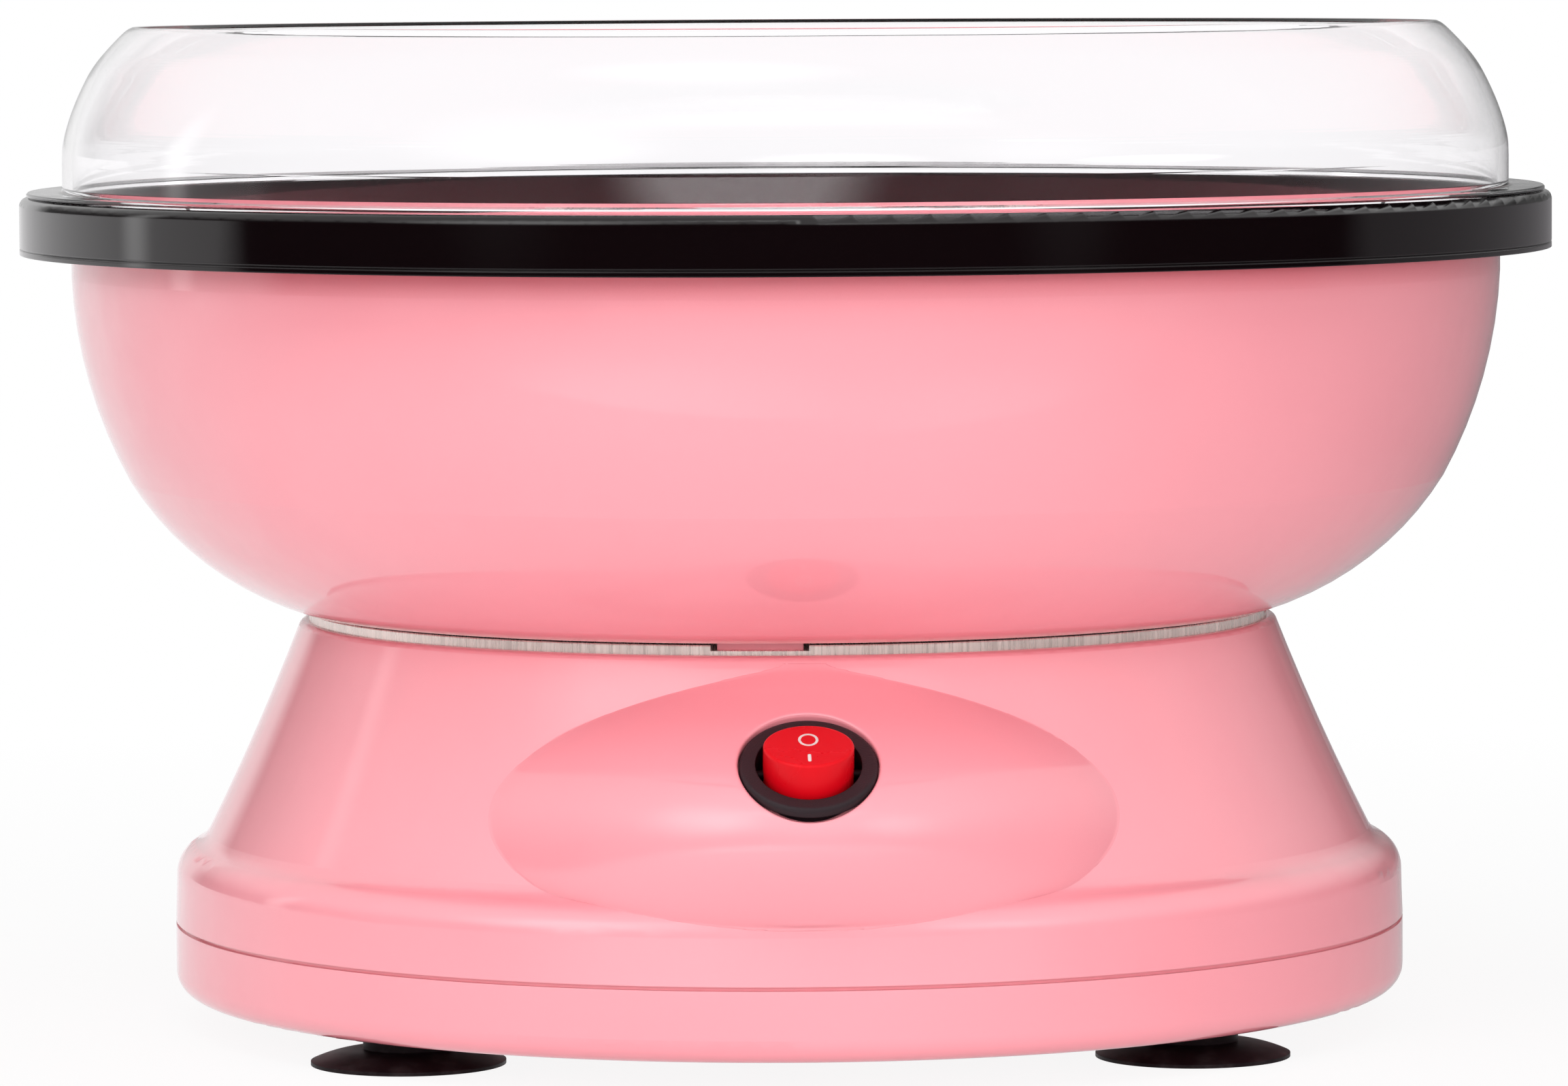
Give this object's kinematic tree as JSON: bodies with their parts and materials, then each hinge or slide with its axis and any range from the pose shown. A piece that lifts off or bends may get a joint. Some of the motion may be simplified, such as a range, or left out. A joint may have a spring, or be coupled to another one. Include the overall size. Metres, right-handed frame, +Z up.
{
  "type": "electric cotton candy machine",
  "caption": "Countertop cotton candy machine: clear dome shield and clip ring on a round bowl, spinning head over a heater, conical base with rocker switch and suction feet.",
  "frame": {"origin": "on the table under the spinning head's axis, at the centre of the whole footprint", "axes": "+Z up along the head's axis, -Y towards the front with the switch, +X to the right seen from the front"},
  "size_m": [0.3, 0.3, 0.1955],
  "materials": {
    "clear_shield": "clear, polished",
    "black_gloss": "high gloss",
    "pink_gloss": "high gloss",
    "brushed_aluminium": "brushed",
    "spun_aluminium": "spun",
    "bright_steel": "bright zinc",
    "steel": "satin",
    "heater_steel": "heat darkened",
    "ceramic_white": "unglazed",
    "magnet": "sintered",
    "bronze": "plain",
    "black_rubber": "satin",
    "black_matte": "fine grain",
    "red_plastic": "satin",
    "white_plastic": "plain",
    "board_green": "lacquered"
  },
  "bodies": {
    "base": {"base_housing": "pink_gloss", "board_parts": "black_matte", "board_screws": "bright_steel", "bottom_cover": "pink_gloss", "bracket_grommets": "black_rubber", "bracket_screws": "bright_steel", "cord_gland": "black_rubber", "cover_screws": "bright_steel", "heat_plate": "brushed_aluminium", "heater_insulators": "ceramic_white", "heater_posts": "ceramic_white", "heater_ring": "heater_steel", "lower_bush": "bronze", "motor_bracket": "steel", "motor_can": "steel", "motor_end_cap": "black_matte", "motor_magnets": "magnet", "motor_screws": "bright_steel", "plate_screws": "bright_steel", "rectifier_board": "board_green", "rocker_pin": "bright_steel", "suction_foot_1": "black_rubber", "suction_foot_2": "black_rubber", "suction_foot_3": "black_rubber", "suction_foot_4": "black_rubber", "switch_bezel": "black_matte", "switch_block": "black_matte", "switch_terminals": "bronze", "terminal_block": "white_plastic", "thermostat": "steel", "thermostat_screws": "bright_steel", "upper_bush": "bronze"},
    "bowl": {"bowl": "pink_gloss"},
    "lid": {"dome_shield": "clear_shield", "rim_ring": "black_gloss"},
    "rotor": {"motor_shaft": "bright_steel", "drive_pin": "bright_steel", "shaft_collar": "bright_steel", "cooling_fan": "black_matte", "armature": "steel"},
    "head": {"head_pan": "spun_aluminium", "head_band": "spun_aluminium", "head_cover": "spun_aluminium", "head_rivets": "bright_steel"},
    "rocker": {"rocker": "red_plastic"}
  },
  "joints": [
    {"name": "head_spin", "type": "hinge", "parent": "base", "child": "rotor", "pos_m": [0, 0, 0.06], "axis": [0, 0, 1], "continuous": true},
    {"name": "head_lift", "type": "slide", "parent": "rotor", "child": "head", "axis": [0, 0, 1], "range_m": [0, 0.12]},
    {"name": "bowl_lift", "type": "slide", "parent": "base", "child": "bowl", "axis": [0, 0, 1], "range_m": [0, 0.12]},
    {"name": "lid_lift", "type": "slide", "parent": "bowl", "child": "lid", "axis": [0, 0, 1], "range_m": [0, 0.08]},
    {"name": "rocker_tilt", "type": "hinge", "parent": "base", "child": "rocker", "pos_m": [0, -0.11516, 0.05901], "axis": [1, 0, 0], "range_deg": [0, 28]}
  ]
}
